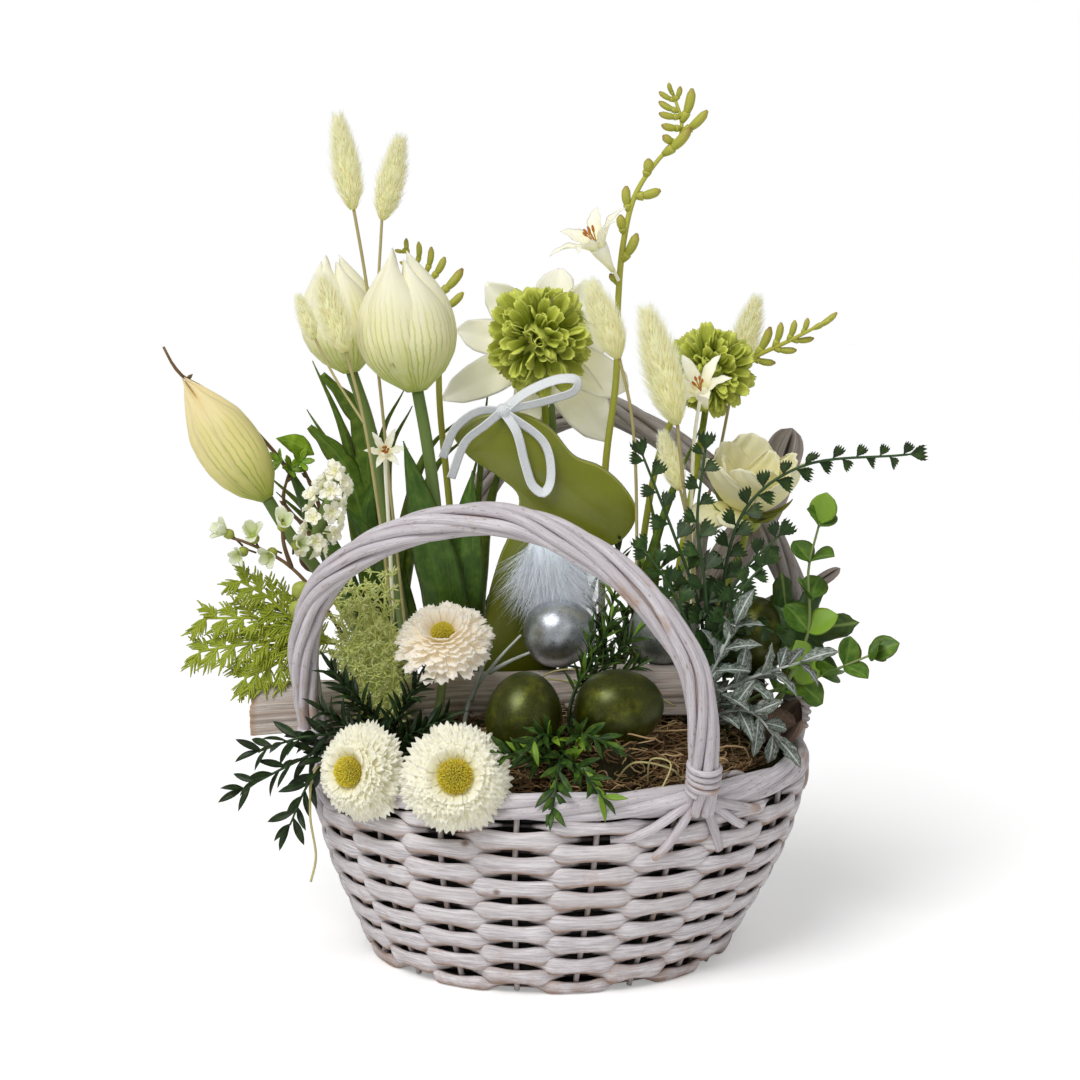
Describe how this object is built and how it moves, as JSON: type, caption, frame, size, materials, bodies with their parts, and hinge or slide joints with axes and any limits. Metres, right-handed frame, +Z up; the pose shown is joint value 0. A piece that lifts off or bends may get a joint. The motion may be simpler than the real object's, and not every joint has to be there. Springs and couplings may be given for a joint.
{
  "type": "flower basket arrangement",
  "caption": "Woven willow basket with two fixed twisted handles, filled with tulips, daisies, grass heads, foliage, eggs, a log and a flat rabbit ornament.",
  "frame": {"origin": "middle of the basket's base on the surface it stands on", "axes": "+Z up, +X to the right in the picture, +Y to the back"},
  "size_m": [0.4442, 0.2949, 0.5143],
  "materials": {
    "willow": "white-washed split willow",
    "silver_egg": "silver satin paint, one speckled",
    "olive_egg": "olive metallic satin",
    "driftwood": "weathered, ridged",
    "rabbit": "olive satin paint",
    "fur": "long pile",
    "ribbon": "woven",
    "eye": "matte florets",
    "cream_petal": "matte petals",
    "lime": "matte petals",
    "ivory_petal": "matte petals",
    "bud": "waxy buds",
    "straw": "fine fuzz",
    "leaf": "matte leaves",
    "fresh_leaf": "matte leaves",
    "dark_leaf": "matte leaves",
    "frosted_leaf": "silver veined",
    "dried": "dry, ribbed",
    "moss": "rough fibre"
  },
  "bodies": {
    "root": {"handle_front": "willow", "handle_back": "willow", "basket_wall": "willow", "basket_rim": "willow", "basket_base": "willow", "egg_silver_1": "silver_egg", "egg_silver_2": "silver_egg", "egg_olive_1": "olive_egg", "egg_olive_2": "olive_egg", "egg_olive_3": "olive_egg", "wood_log": "driftwood", "rabbit": "rabbit", "fur_collar": "fur", "ribbon_bow": "ribbon", "bellis_1_eye": "eye", "bellis_2_eye": "eye", "bellis_3_eye": "eye", "bellis_1_petals": "cream_petal", "bellis_2_petals": "cream_petal", "bellis_3_petals": "cream_petal", "tulip_1_bloom": "cream_petal", "tulip_2_bloom": "cream_petal", "tulip_3_bloom": "cream_petal", "cream_bloom": "cream_petal", "pompom_1": "lime", "pompom_2": "lime", "cream_bloom_calyx": "lime", "lily": "ivory_petal", "star_1": "ivory_petal", "star_2": "ivory_petal", "star_3": "ivory_petal", "white_cluster": "ivory_petal", "freesia_tall": "bud", "freesia_left": "bud", "freesia_right": "bud", "bunny_tails_1": "straw", "bunny_tails_2": "straw", "bunny_tail_3": "straw", "bunny_tails_4": "straw", "bunny_tail_5": "straw", "tulip_1_stem": "leaf", "tulip_2_stem": "leaf", "tulip_3_stem": "leaf", "grass_blades": "leaf", "bellis_stems": "fresh_leaf", "round_leaf_sprigs": "fresh_leaf", "cypress_spray": "fresh_leaf", "front_sprig": "fresh_leaf", "blossom_sprig": "fresh_leaf", "moss_puff": "fresh_leaf", "fern_fronds": "dark_leaf", "fern_long": "dark_leaf", "needle_foliage": "dark_leaf", "ruscus_sprig": "dark_leaf", "ivy_leaf": "dark_leaf", "frosted_sprig": "frosted_leaf", "dried_pods": "dried", "dried_capsule": "dried", "twigs": "dried", "filler": "moss"}
  },
  "joints": []
}
